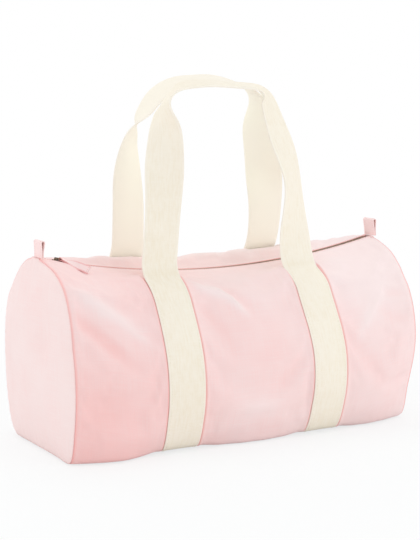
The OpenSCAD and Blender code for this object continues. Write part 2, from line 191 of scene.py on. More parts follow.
def stripPiece(name, skin, uv, material, marks):
    # wall whose rows go out on one face and back on the other, closed at both ends
    rows, columns = skin.shape[:2]
    faces = [gridFaces(rows, columns), wallCap(0, columns),
             wallCap((rows - 1) * columns, columns)[:, ::-1]]
    return makePiece(name, skin, faces, material, uv, marks)


def fit(piece, slotName, body, *nodes):
    # the piece rides on a body; it may stand in for CAD nodes, which are hidden
    if nodes:
        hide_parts(*nodes)
    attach(piece, body)


class Value:
    # a socket in a material that can be used in sums
    def __init__(self, tree, socket=None):
        self.tree, self.socket = tree, socket

    def node(self, kind, settings=None, sockets=None, out=0):
        # a shader node with its settings and what goes into its sockets
        made = self.tree.nodes.new("ShaderNode" + kind)
        for key, value in (settings or {}).items():
            setattr(made, key, value)
        for key, value in (sockets or {}).items():
            if isinstance(value, Value):
                self.tree.links.new(value.socket, made.inputs[key])
            else:
                made.inputs[key].default_value = value
        return Value(self.tree, made.outputs[out] if made.outputs else None)

    def other(self, name):
        # another output of the same node
        return Value(self.tree, self.socket.node.outputs[name])

    def sum(self, operation, *values):
        return self.node("Math", {"operation": operation}, dict(enumerate(values)))

    def __add__(self, other):
        return self.sum("ADD", self, other)

    def __sub__(self, other):
        return self.sum("SUBTRACT", self, other)

    def __rsub__(self, other):
        return self.sum("SUBTRACT", other, self)

    def __mul__(self, other):
        return self.sum("MULTIPLY", self, other)

    __radd__ = __add__
    __rmul__ = __mul__

    def sine(self):
        return self.sum("SINE", self)

    def within(self, low, high):
        # 0 below low, 1 above high, smooth between
        return self.node("MapRange", {"interpolation_type": "SMOOTHSTEP"},
                         {"Value": self, "From Min": low, "From Max": high})

    def noise(self, place, scale, detail=3, roughness=0.5):
        return self.node("TexNoise", {},
                         {"Vector": place, "Scale": scale, "Detail": detail, "Roughness": roughness})

    def blend(self, first, second, factor):
        # colours mixed by a factor
        return self.node("Mix", {"data_type": "RGBA"}, {0: factor, 6: first, 7: second}, 2)

    def stretched(self, place, scale):
        return self.node("Mapping", {}, {"Vector": place, "Scale": scale})


def paint(red, green, blue):
    # screen colour, 0 to 255, as the light value that a shader takes
    return tuple(((c / 255 + 0.055) / 1.055)**2.4 for c in (red, green, blue)) + (1,)


def newMaterial(name):
    # empty material, the start of its sums, and places in the object's own directions
    made = bpy.data.materials.new(name)
    made.use_nodes = True
    made.node_tree.nodes.clear()
    start = Value(made.node_tree)
    place = start.node("TexCoord", out="Object")
    return made, start, place


def finishMaterial(start, made, height, sockets):
    # relief from a height, and the surface with its finish
    bump = start.node("Bump", {}, {
        "Strength": made["bumpStrength"], "Distance": made["bumpDepth"], "Height": height})
    sockets = {"Normal": bump, **made["finish"], **sockets}
    surface = start.node("BsdfPrincipled", {}, sockets)
    start.node("OutputMaterial", {}, {"Surface": surface})


# Weave: sizes of its parts, and what each gives to the relief and to the tone
cloth = dict(pitch=0.00075, thread=(900, 22, 1), crossThread=(22, 900, 1), grain=(420, 60, 1),
             patchScale=13.0, speckScale=210.0, weaveHigh=0.5, threadHigh=0.6, speckHigh=0.4,
             ribHigh=0.45, patchTone=0.5, threadTone=0.28, ribTone=0.1, speckTone=0.4,
             grainTone=0.9, edgeShare=0.6, bumpStrength=0.5, bumpDepth=0.00012, roughness=0.86,
             patchRough=0.12,
             finish={"Sheen Weight": 0.12, "Sheen Roughness": 0.45, "Specular IOR Level": 0.25})


def clothMaterial(name, light, dark, pitch=1.0, ribs=0.0, edge=None, inside=None,
                  paintedCreviceShade=None, middle=0.22, mottle=1.0):
    # plain weave: two crossed waves of threads one pitch apart, uneven threads, soft
    # mottling, painted shade and light from the fold mark; ribs adds a coarser rib across the strip
    made, start, place = newMaterial(name)
    uv = start.node("UVMap", {"uv_map": "cloth"})
    across = start.node("SeparateXYZ", {}, {0: uv})
    along = across.other(1)
    step = pi / (cloth["pitch"] * pitch)
    weave = (across * step).sine() * (along * step).sine()
    warp = start.noise(start.stretched(uv, cloth["thread"]), 1.0, 2)
    weft = start.noise(start.stretched(uv, cloth["crossThread"]), 1.0, 2)
    patch = start.noise(place, cloth["patchScale"], 3)
    speck = start.noise(place, cloth["speckScale"], 2)
    # fold mark: painted shade in creases, seams and crevices, painted light on ridges and paler places
    fold = start.node("Attribute", {"attribute_name": "fold"}, out="Fac")
    height = (weave * cloth["weaveHigh"] + (warp + weft) * cloth["threadHigh"]
              + speck * cloth["speckHigh"])
    uneven = (patch - 0.5) * cloth["patchTone"] + (warp + weft - 1) * cloth["threadTone"]
    tone = uneven * mottle + fold + middle
    if ribs:
        rib = (along * (2 * pi / ribs)).sine()
        height = height + rib * cloth["ribHigh"]
        grain = start.noise(start.stretched(uv, cloth["grain"]), 1.0, 2)
        tone = (tone - rib * cloth["ribTone"] - (speck - 0.5) * cloth["speckTone"]
                + (grain - 0.5) * cloth["grainTone"])
    colour = start.blend(paint(*light), paint(*dark), tone.within(0.0, 1.0))
    if paintedCreviceShade:
        # deeper coral where the painted shade runs past the dark colour: painted shade in seams and crevices
        colour = start.blend(colour, paint(*paintedCreviceShade), tone.within(1.0, 1.9))
    if edge:
        # painted highlight or painted shade in a band towards both edges of the strip
        side = start.node("Attribute", {"attribute_name": "edge"}, out="Fac")
        colour = start.blend(colour, paint(*edge), side.within(0.2, 1.1) * cloth["edgeShare"])
    if inside:
        # the turned-in face of a folded strip gets a colour of its own, set against its shade: painted light
        inner = start.node("Attribute", {"attribute_name": "inside"}, out="Fac")
        colour = start.blend(colour, paint(*inside), inner.within(0.2, 0.8))
    rough = (patch - 0.5) * cloth["patchRough"] + cloth["roughness"]
    finishMaterial(start, cloth, height, {"Base Color": colour, "Roughness": rough})
    return made


thread = dict(strand=(900, 900, 2600), bumpStrength=0.4, bumpDepth=0.0001,
              finish={"Roughness": 0.7, "Sheen Weight": 0.1, "Specular IOR Level": 0.3})


def threadMaterial(name, colour, shade):
    # twisted sewing thread: fine slanting lines and soft mottling
    made, start, place = newMaterial(name)
    strand = start.noise(start.stretched(place, thread["strand"]), 1.0, 2)
    tone = start.blend(paint(*shade), paint(*colour), strand.within(0.3, 0.6))
    finishMaterial(start, thread, strand, {"Base Color": tone})
    return made


brass = dict(patchScale=260.0, brush=(400, 4200, 4200), spotScale=900.0, patchShare=0.7,
             brushShare=0.3, spotShare=0.2, rubFrom=-0.14, rubTo=0.16, bumpStrength=0.35,
             bumpDepth=0.00005, metal=0.7, rubMetal=0.25, rough=0.52, rubRough=0.2, spotRough=0.1,
             finish={})


def brassMaterial(name, worn, dark, polish):
    # antique brass: dark patina in patches, rubbed bright spots, fine brushed lines
    made, start, place = newMaterial(name)
    patch = start.noise(place, brass["patchScale"], 4, 0.6)
    brush = start.noise(start.stretched(place, brass["brush"]), 1.0, 3)
    spot = start.noise(place, brass["spotScale"], 2)
    rub = patch * brass["patchShare"] + brush * brass["brushShare"] + spot * brass["spotShare"]
    rub = rub.within(polish + brass["rubFrom"], polish + brass["rubTo"])
    rough = brass["rough"] - rub * brass["rubRough"] + (spot - 0.5) * brass["spotRough"]
    finishMaterial(start, brass, brush + patch, {
        "Base Color": start.blend(paint(*dark), paint(*worn), rub), "Roughness": rough,
        "Metallic": rub * brass["rubMetal"] + brass["metal"]})
    return made


# Each cloth runs from its light colour to its dark one by mottling and by the painted shade and light of its
# fold mark; the canvas's two are its lit and its shaded pink
canvas = clothMaterial("pinkCanvas", (251, 234, 233), (252, 201, 198), paintedCreviceShade=(252, 158, 154),
                       middle=0.42, mottle=0.65)
# the end panels' canvas is a paler copy of the body's: painted light
endCloth = clothMaterial("endCanvas", (250, 232, 230), (249, 204, 201), paintedCreviceShade=(252, 170, 166))
bindingCloth = clothMaterial("bindingTape", (240, 200, 198), (226, 176, 173), ribs=0.0016)
# the webbing's paler edges are a painted highlight, and its paler inner face painted light against the shade
# and the pink light bounced onto it
webbingCloth = clothMaterial("creamWebbing", (251, 245, 231), (243, 233, 211), pitch=1.2, ribs=0.0013,
                             edge=(252, 248, 238), inside=(255, 253, 240))
# the loop's inner face has a colour of its own, set against the shade between its legs: painted light
loopCloth = clothMaterial("loopCanvas", (254, 231, 230), (253, 207, 204), inside=(255, 224, 220))
# the puller is a paler copy of the canvas, painted light, with painted shade on its coral edges
pullerCloth = clothMaterial("pullerCanvas", (254, 234, 233), (252, 208, 205), edge=(238, 128, 130))
tapeCloth = clothMaterial("zipTape", (180, 142, 130), (146, 108, 96), ribs=0.0011)
pinkThread = threadMaterial("pinkThread", (247, 214, 212), (228, 178, 175))
pullerThread = threadMaterial("pullerThread", (242, 176, 174), (216, 128, 126))
creamThread = threadMaterial("creamThread", (250, 244, 228), (228, 216, 190))
zipBrass = brassMaterial("zipBrass", (164, 136, 102), (88, 66, 46), 0.54)
sliderBrass = brassMaterial("sliderBrass", (176, 150, 116), (44, 32, 24), 0.62)
print("materials made")


# Body outline, the same rule as the solid, as shares of half the width and of the height
lower = [[0.93, 0.16], [0.85, 0.065], [0.73, 0.012], [0.6, 0], [0.3, 0], [0, 0]]
bag = dict(
    length=500, height=245, width=232, sag=30, canvas=1.2, base=2.7,
    backRise=28, frontRise=4, swell=3.5, cornerLift=6,
    slotHalf=5.2, hemHalf=14, strapX=104, strapHalf=25, strapMargin=4,
    arcShare=0.3, shoulderIn=0.12, shoulderOut=0.86, sidePoints=105, finePoints=1400,
    front=[[0.28, 0.987], [0.53, 0.955], [0.75, 0.886], [0.88, 0.79], [0.955, 0.685],
           [0.99, 0.57], [1, 0.44], [0.98, 0.29]] + lower,
    back=[[0.28, 0.985], [0.5, 0.935], [0.71, 0.85], [0.86, 0.755], [0.95, 0.65],
          [0.99, 0.54], [1, 0.42], [0.98, 0.28]] + lower,
)
halfLength = bag["length"] / 2
topMiddle = bag["height"] - bag["sag"]
topRadius = (halfLength**2 + bag["sag"]**2) / (2 * bag["sag"])
arcZ = topMiddle + topRadius
underStrap = bag["strapX"] - bag["strapHalf"] - bag["strapMargin"]
pastStrap = bag["strapX"] + bag["strapHalf"] + bag["strapMargin"]


def topHeight(x):
    # arc of the zip
    return arcZ - np.sqrt(topRadius**2 - x * x)


def eased(x):
    # place along the bag with the width of the webbing taken out
    a = np.abs(x)
    return np.where(a < underStrap, a * bag["strapX"] / underStrap, np.where(
        a < pastStrap, bag["strapX"],
        bag["strapX"] + (a - pastStrap) * (halfLength - bag["strapX"]) / (halfLength - pastStrap)))


def sideOutline(x, t, shares, rise):
    # shares of half the width and of the height, with the shoulder's rise, as a smooth curve
    x = np.asarray(x, float)[:, None]
    across, up = np.asarray(shares).T
    a = np.abs(x)
    swell = bag["swell"] * np.where(
        a < underStrap, np.cos(pi / 2 * a / underStrap)**2,
        np.where(a < pastStrap, 0, np.sin(pi * (a - pastStrap) / (halfLength - pastStrap))**2))
    lift = bag["cornerLift"] * np.clip((x - pastStrap) / (halfLength - pastStrap), 0, 1)**2
    sideHeight = topMiddle + bag["sag"] * (eased(x) / halfLength)**2
    high = np.where(across < bag["arcShare"], topHeight(x), sideHeight)
    full = 1 - (eased(x) / halfLength)**2
    hump = np.where((across < bag["shoulderIn"]) | (across > bag["shoulderOut"]), 0, np.sin(
        pi * (across - bag["shoulderIn"]) / (bag["shoulderOut"] - bag["shoulderIn"])))
    z = (bag["base"] + (high - bag["base"]) * up + lift * (1 - up)
         + rise * full * hump * np.maximum(0, 2 * up - 1))
    points = spread(across * (bag["width"] / 2 + swell), np.maximum(z, bag["base"]))
    hem = spread(float(bag["hemHalf"]), topHeight(x))
    return catmull(joined([hem, points], 1), t)


def evenSteps(shares, rise):
    # places along one side's curve at equal distances, measured at mid length
    fine = np.linspace(0, len(shares), bag["finePoints"])
    far = lengthAlong(sideOutline([0.0], fine, shares, rise)[0])
    return np.interp(np.linspace(0, far[-1], bag["sidePoints"]), far, fine)


# across the hem, crowded at the folded edge beside the zip
hemPlaces = bag["slotHalf"] + np.array([0, 0.05, 0.2, 0.5, 1.1, 2.1, 3.0, 3.8, 5.8])
frontSteps = evenSteps(bag["front"], bag["frontRise"])
backSteps = evenSteps(bag["back"], bag["backRise"])


def section(x):
    # open outline at each x: front hem, down the front, under, up the back, back hem
    x = np.asarray(x, float)
    front = sideOutline(x, frontSteps, bag["front"], bag["frontRise"]) * [-1, 1]
    back = sideOutline(x, backSteps, bag["back"], bag["backRise"])[:, -2::-1]
    hem = spread(hemPlaces, topHeight(x)[:, None])
    flat = joined([hem * [-1, 1], front, back, hem[:, ::-1]], 1)
    return spread(x[:, None], flat[..., 0], flat[..., 1])


# How far close spacing reaches past the webbing, under it and in from the ends, and how
# many places each stretch has, from the middle outwards
spacing = dict(outside=6, under=2, end=10, counts=(27, 5, 15, 5, 36, 9))


def stations():
    # places along the bag, close together at the end seams and the webbing's edges
    near, far = bag["strapX"] - bag["strapHalf"], bag["strapX"] + bag["strapHalf"]
    ends = (0, near - spacing["outside"], near + spacing["under"], far - spacing["under"],
            far + spacing["outside"], halfLength - spacing["end"], halfLength)
    right = joined([np.linspace(a, b, n, endpoint=False)
                            for a, b, n in zip(ends, ends[1:], spacing["counts"])] + [[halfLength]])
    return joined([-right[:0:-1], right])


# Creases read from the photograph, on the front and then on the back: three places (along,
# up), depth and half width
creases = {
    -1: [
        ((-249, 190), (-211, 156), (-168, 116), -3.8, 8.5),
        ((-243, 214), (-202, 190), (-154, 160), 2.6, 7),
        ((-228, 196), (-184, 170), (-136, 136), 1.5, 5.5),
        ((-228, 100), (-208, 78), (-188, 56), -2.6, 24),
        ((-150, 120), (-146, 90), (-150, 60), -1.2, 10), ((-68, 210), (-48, 198), (-26, 190), 2.6, 6),
        ((-44, 204), (-25, 189), (-4, 168), 4.6, 5.5), ((-30, 204), (-10, 188), (12, 176), -1.6, 7),
        ((-70, 186), (-50, 160), (-34, 128), -1.6, 9), ((20, 70), (48, 92), (66, 128), -1.3, 11),
        ((-30, 40), (0, 52), (34, 44), 1.2, 12), ((214, 192), (190, 168), (158, 130), 3.4, 7),
        ((172, 226), (152, 208), (131, 196), 1.8, 7), ((206, 186), (222, 180), (244, 176), -1.9, 6),
        ((196, 160), (218, 148), (243, 146), -1.4, 7), ((150, 110), (176, 84), (196, 48), -1.5, 12)],
    1: [
        ((-243, 190), (-206, 160), (-172, 120), -3.0, 9), ((-60, 200), (-30, 172), (-8, 130), -1.8, 9),
        ((70, 190), (44, 150), (34, 110), -1.6, 10), ((243, 180), (210, 150), (176, 140), -2.6, 9),
        ((160, 60), (190, 84), (228, 92), -1.6, 14)],
}


def lineShape(x, z, start, middle, end, depth, halfWidth, pieces=14):
    # depth times a bell of the distance to a bent line, fading out at both its ends
    start, middle, end = (np.array(v, float) for v in (start, middle, end))
    pull = 2 * middle - (start + end) / 2
    f = np.linspace(0, 1, pieces + 1)[:, None]
    line = (1 - f)**2 * start + 2 * f * (1 - f) * pull + f * f * end
    nearest, where = np.full(x.shape, np.inf), np.zeros(x.shape)
    for i, (a, b) in enumerate(zip(line, line[1:])):
        step = b - a
        g = np.clip(((x - a[0]) * step[0] + (z - a[1]) * step[1]) / (step @ step), 0, 1)
        away = np.hypot(x - a[0] - g * step[0], z - a[1] - g * step[1])
        where = np.where(away < nearest, (i + g) / pieces, where)
        nearest = np.minimum(away, nearest)
    fade = 0.25 + 0.75 * ease(0, 0.3, where) * ease(1, 0.7, where)
    return depth * fade * bell(nearest, halfWidth) * ease(4, 1, nearest / halfWidth)


def slackWaves(x, s, seed, shortest, longest, count, size):
    # sum of sine waves across the cloth in random directions, longer ones higher
    draw = np.random.default_rng(seed)
    total = np.zeros(x.shape)
    for k in range(count):
        length = shortest * (longest / shortest)**(k / (count - 1))
        turn, start = draw.uniform(0, pi), draw.uniform(0, 2 * pi)
        total += length / longest * np.sin(2 * pi / length * (x * np.cos(turn) + s * np.sin(turn)) + start)
    return total * size / math.sqrt(count / 4)


def outwardOf(p):
    # cross product of the steps round the bag and along it
    return unit(np.cross(np.gradient(p, axis=1), np.gradient(p, p[:, 0, 0], axis=0)))


def strapDistance(x):
    # how far a place is from the nearest webbing edge, negative under the webbing
    return np.abs(np.abs(x) - bag["strapX"]) - bag["strapHalf"]


# How the cloth is drawn in or stands up: at the end seams, beside the webbing, and along
# the folded hem with its stitches, as size, middle and reach; then the handles' roots
seam = dict(pinch=(-2.1, 0, 4), pucker=0.5, puckerStep=13, puckerMix=1.7, puckerLong=71,
            puckerReach=15, puckerFrom=3, roll=(2.2, 1.8, 4.2), under=-0.1, hemRoll=(0.25, 6.6, 1.1),
            stitches=(-0.3, 8.4, 0.6), topDepth=5, roots=(38, 50), rootDrop=20)

# Painted shade and light on the cloth, as shares of the way from its light colour to its dark
# one: lines in creases and seams, then broad places: on the front only or not, tone, up and along
paintedShading = dict(groove=0.24, ridge=0.4, fullAt=4, widest=13, stitches=(0.35, 8.4, 0.8), slotEdge=0.9,
             edgeAt=(6.4, 5.8), endSeam=(0.85, 0, 1.7), strapSeam=(1.05, 0, 1.7), strapFrom=(52, 58),
             backLower=14, facing=(20, 60), back=-0.22, backTop=-0.3, backAt=(150, 215), inner=0.3,
             broad=[(1, 0.1, (130, 10), (0, -100)), (1, -0.12, (160, 20), (-120, 200)),
                    (0, -0.14, (120, 215), (-140, 60)), (0, -0.2, (70, 200), (110, 190))],
             corner=[(-222, 60, 66, 76, 0.3)])

# Waves of slack: seed, shortest, longest, how many, height
waves = dict(long=(11, 60, 230, 14, 1.25), short=(12, 22, 48, 10, 0.22))

# From where to where creases, and then waves, come in: round to the facing side, up from
# the floor, out from the webbing, in from the end seams and out from the zip
creaseIn = dict(facing=(20, 50), floor=(4, 26), strap=(-1, 5), end=(-4, 8))
wavesIn = dict(floor=(6, 40), strap=(0, 9), end=(0, 26), zip=(14, 40))

# Where the stuffing pushes the front out: along, up, reach along, reach up, push
stuffing = [(-192, 5, 46, 34, 15), (10, 4, 62, 26, 8), (62, 108, 80, 50, 2.5), (254, 46, 46, 50, -12),
            (246, 208, 44, 34, -8)]

# How far the whole front has settled outwards at every 20 mm of height, and how much of
# that each place along the bag gets: the belly hangs low and the shoulder is flatter
settled = dict(step=20, front=(24, 92), below=(248, 222),
               push=[0, 4, 11, 13, 12.5, 10.5, 7, 1.5, -4, -6.5, -5, -2.5, 0],
               along=[-250, -190, -104, 0, 104, 180, 250], belly=[0.5, 0.62, 0.85, 1, 1.1, 0.8, 0.32],
               shoulder=[0, 0.4, 0.9, 1, 1.2, 0.9, 0.4])

# Where the top sinks between the fuller places: along, across, reach along, reach across,
# depth; and the heights between which it does
sunk = [(-178, -36, 46, 17, 3.6), (196, -34, 40, 15, 3.2), (252, -74, 46, 36, 9),
        (-4, 80, 60, 42, 4.8), (-252, 86, 60, 44, 5)]
sunkBetween = [(178, 206), (258, 248)]

# How square the lower front corner is, how far the canvas sags to the floor, from where to
# where, and how far down it may go
resting = dict(square=0.88, canvasDrop=2.2, low=(46, 8), corner=(54, 84), between=(4, 34),
               gap=0.4, lift=0.1)


def filled(p):
    # sums of round bumps and the settled front, then hollows in the top; the lower front
    # edge goes into a squarer corner and the canvas onto the floor between the bands
    x, y, z = p[..., 0], p[..., 1], p[..., 2]
    push = bumps(x, z, stuffing)
    places = np.clip(z / settled["step"], 0, len(settled["push"]) - 1).ravel()
    level = catmull(np.array(settled["push"])[:, None], places).reshape(z.shape)
    belly, shoulder = (np.interp(x, settled["along"], settled[key]) for key in ("belly", "shoulder"))
    push = push + level * np.where(level > 0, belly, shoulder)
    push = push * ease(*settled["front"], -y) * ease(*settled["below"], z)
    sink = bumps(x, y, sunk)
    sink = sink * ease(*sunkBetween[0], z) * ease(*sunkBetween[1], z)
    low = ease(*resting["low"], z)
    square = resting["square"] * np.maximum(z - bag["base"], 0) * low * ease(*resting["corner"], -y)
    drop = resting["canvasDrop"] * low * ease(*resting["between"], strapDistance(x))
    return np.stack([x, y - push, z - sink - square - drop], -1)


def rimPucker(s, away):
    # gathers along an end seam: a wave round the rim that dies out away from it
    long = seam["puckerMix"] * np.sin(2 * pi * s / seam["puckerLong"])
    wave = np.sin(2 * pi * s / seam["puckerStep"] + long)
    fade = np.exp(-away / seam["puckerReach"]) * (1 - bell(away, seam["puckerFrom"]))
    return seam["pucker"] * fade * wave


def overStraps(y, z):
    # 0 on the top between the handles' roots, where no webbing lies on the canvas, else 1
    return np.maximum(ease(*seam["roots"], np.abs(y)),
                      z < topMiddle - seam["rootDrop"])


def paintedBodyShading(x, y, z, away, beside, onTop):
    # painted shade in dark lines along the hem's stitches and edge, the end seams and the webbing,
    # then broad painted shade and light in the deeper and paler places that the photograph shows
    lines = ridge(np.abs(y), *paintedShading["stitches"])
    lines = onTop * (lines + paintedShading["slotEdge"] * ease(*paintedShading["edgeAt"], np.abs(y)))
    strapped = ease(*paintedShading["strapFrom"], np.maximum(-y, y - paintedShading["backLower"]))
    strapped = np.maximum(strapped, z < topMiddle - seam["rootDrop"])
    lines = lines + strapped * ridge(np.maximum(beside, 0), *paintedShading["strapSeam"])
    front, back = (ease(*paintedShading["facing"], side) for side in (-y, y))
    lines = lines + ridge(away, *paintedShading["endSeam"]) + front * bumps(x, z, paintedShading["corner"])
    for onFront, tone, up, along in paintedShading["broad"]:
        lines = lines + (front if onFront else 1) * tone * ease(*up, z) * ease(*along, x)
    return lines + back * (paintedShading["back"] + paintedShading["backTop"] * ease(*paintedShading["backAt"], z))


def bodySurface():
    # the plain outline, its outward directions, the distances round it, the relief that seams,
    # creases and slack give it, and the painted shade and light of seams and creases
    x = stations()
    p = section(x)
    s = joined([np.zeros((len(x), 1)),
                        np.cumsum(np.linalg.norm(np.diff(p, axis=1), axis=2), axis=1)], 1)
    x, y, z = p[..., 0], p[..., 1], p[..., 2]
    away, beside, across = halfLength - np.abs(x), strapDistance(x), np.abs(y)
    onTop = (across < bag["hemHalf"]) & (z > topMiddle - seam["topDepth"])
    height = ridge(away, *seam["pinch"]) + rimPucker(s, away)
    height += overStraps(y, z) * np.where(beside < 0, seam["under"], ridge(beside, *seam["roll"]))
    height += onTop * (ridge(across, *seam["hemRoll"]) + ridge(across, *seam["stitches"]))
    fold = paintedBodyShading(x, y, z, away, beside, onTop)
    for side, (*places, depth, halfWidth) in [(k, line) for k in creases for line in creases[k]]:
        facing = ease(*creaseIn["facing"], side * y)
        facing = facing * ease(*creaseIn["floor"], z) * ease(*creaseIn["strap"], beside)
        facing = facing * ease(*creaseIn["end"], away)
        shape = lineShape(x, z, *places, depth, halfWidth) * facing
        height += shape
        # painted shade in the crease's groove and painted highlight on its ridge
        if halfWidth < paintedShading["widest"]:
            fold += paintedShading["groove"] * np.clip(-shape / paintedShading["fullAt"], 0, 1)
            fold -= paintedShading["ridge"] * np.clip(shape / paintedShading["fullAt"], 0, 1)
    free = ease(*wavesIn["strap"], beside) * ease(*wavesIn["end"], away)
    free = free * ease(*wavesIn["zip"], across)
    height += free * ease(*wavesIn["floor"], z) * slackWaves(x, s, *waves["long"])
    height += free * slackWaves(x, s, *waves["short"])
    return p, outwardOf(p), s, np.where(onTop & (away < 3), 0, height), fold


# Coarse cloth sheet that is let go between its seams to find where the slack gathers
slack = dict(frames=22, stations=76, everyColumn=3, holds=10, gravity=0.6, most=4.2, share=0.85,
             strap=(1, 12), end=(2, 12), floor=(5, 30), hem=(-2, 14))
clothSettings = dict(quality=7, mass=0.25, tension_stiffness=12, compression_stiffness=12,
                     shear_stiffness=4, bending_stiffness=0.35, tension_damping=12,
                     compression_damping=12, bending_damping=1.5, vertex_group_mass="held",
                     pin_stiffness=2, shrink_min=-0.022, use_pressure=True, uniform_pressure_force=3.0)


def letGo(outer, out, x, held):
    # cloth simulation of every third thread or so; gives the movement along the outward
    # direction, held to at most a few millimetres, on the whole grid again
    coarse = np.linspace(-halfLength, halfLength, slack["stations"])[:, None]
    rows = np.unique(np.abs(x[None] - coarse).argmin(1))
    last = outer.shape[1] - 1
    columns = np.unique(np.append(np.arange(0, last + 1, slack["everyColumn"]), last))
    start = outer[rows][:, columns]
    scene = bpy.context.scene
    mesh = bpy.data.meshes.new("slackSheet")
    mesh.from_pydata((start.reshape(-1, 3) * mm).tolist(), [],
                     gridFaces(len(rows), len(columns), aroundColumns=False)[:, ::-1].tolist())
    sheet = inScene("slackSheet", mesh)
    pins = sheet.vertex_groups.new(name="held")
    weights = held[rows][:, columns].ravel()
    for level in np.linspace(1 / slack["holds"], 1, slack["holds"]):
        which = np.flatnonzero(np.abs(weights - level) <= 0.5 / slack["holds"])
        pins.add(which.tolist(), float(level), "REPLACE")
    drape = sheet.modifiers.new("slack", "CLOTH")
    for key, value in clothSettings.items():
        setattr(drape.settings, key, value)
    drape.settings.effector_weights.gravity = slack["gravity"]
    drape.collision_settings.use_collision = False
    drape.point_cache.frame_start = 1
    drape.point_cache.frame_end = slack["frames"]
    for frameNumber in range(1, slack["frames"] + 1):
        scene.frame_set(frameNumber)
    moved = sheet.evaluated_get(bpy.context.evaluated_depsgraph_get()).to_mesh()
    end = np.empty(len(moved.vertices) * 3)
    moved.vertices.foreach_get("co", end)
    end = end.reshape(start.shape) / mm
    bpy.data.objects.remove(sheet)
    scene.frame_set(1)
    move = np.sum((end - start) * out[rows][:, columns], -1)
    print("cloth moved between", move.min().round(2), "and", move.max().round(2), "mm")
    move = slack["most"] * np.tanh(move / slack["most"]) * slack["share"]
    wide = catmull(move[..., None], np.interp(np.arange(last + 1), columns, np.arange(len(columns))))
    places = np.interp(x, x[rows], np.arange(len(rows)))
    return catmull(wide.transpose(1, 0, 2), places)[..., 0].T


def freeToMove(x, y, z):
    # 0 at the end seams, the zip's hems, the webbing and the floor, 1 between them
    strapped = overStraps(y, z)
    free = ease(*slack["strap"], strapDistance(x)) * strapped + 1 - strapped
    free = free * ease(*slack["end"], halfLength - np.abs(x)) * ease(*slack["floor"], z)
    fromHem = ease(*slack["hem"], np.abs(y) - bag["hemHalf"])
    return free * np.maximum(fromHem, z < topMiddle - seam["rootDrop"])


def clothBody():
    # outer skin, a rounded folded edge along the zip, and the inner skin one canvas in
    p, out, s, height, fold = bodySurface()
    outer = filled(p + out * height[..., None])
    free = freeToMove(outer[..., 0], outer[..., 1], outer[..., 2])
    moved = letGo(outer, outwardOf(outer), outer[:, 0, 0], 1 - free)
    outer = outer + outwardOf(outer) * (moved * free)[..., None]
    between = ease(*resting["between"], strapDistance(outer[..., 0]))
    lowest = bag["base"] - resting["gap"] - (resting["canvasDrop"] - resting["lift"]) * between
    outer[..., 2] = np.maximum(outer[..., 2], lowest)
    fresh = outwardOf(outer)
    half = bag["canvas"] / 2
    fromEdge = np.minimum(np.arange(p.shape[1]), np.arange(p.shape[1])[::-1])
    onHem = hemPlaces[np.minimum(fromEdge, len(hemPlaces) - 1)] - bag["slotHalf"]
    d = np.where(fromEdge < len(hemPlaces), onHem, np.inf) / half
    thick = half * np.sqrt(1 - (1 - np.clip(d, 0.02, 1))**2)
    middle = outer - fresh * half
    skin = joined([middle + fresh * thick[:, None], (middle - fresh * thick[:, None])[:, ::-1]], 1)
    uv = spread(skin[..., 0], joined([s, s[:, ::-1]], 1))
    marks = {"fold": joined([fold, fold[:, ::-1] * paintedShading["inner"]], 1)}
    fit(stripPiece("canvasBody", skin, uv, canvas, marks), "canvas", "bag", "body_panel")
    return outer, s


bodyOuter, bodyAround = clothBody()
print("canvas body made")

# Domed end panels, pinched at the rim like the body
endPanel = dict(dome=12.6, roll=1.7, rollReach=4.5, thick=1.2, paintedSeamShade=(0.5, 0, 1.6),
                paintedCreaseShade=0.06, creaseFrom=20, wave=(60, 200, 9, 1.1), waveSeed=21, waveFrom=40,
                rimIn=0.99, pole=0.03, puckerShift=5, closing=5,
                rings=[1, 0.993, 0.984, 0.97, 0.955, 0.935, 0.91, 0.88, 0.84, 0.8, 0.75, 0.7, 0.64,
                       0.58, 0.52, 0.46, 0.4, 0.34, 0.28, 0.22, 0.16, 0.1, 0.05])
endCreases = {
    -1: [((-60, 176), (-40, 140), (-46, 96), -1.8, 16), ((60, 150), (30, 168), (-4, 170), 1.5, 14),
         ((40, 60), (66, 84), (74, 120), -1.4, 14)],
    1: [((-70, 120), (-44, 96), (-36, 60), -1.6, 15), ((50, 176), (20, 150), (10, 116), -1.5, 14)],
}


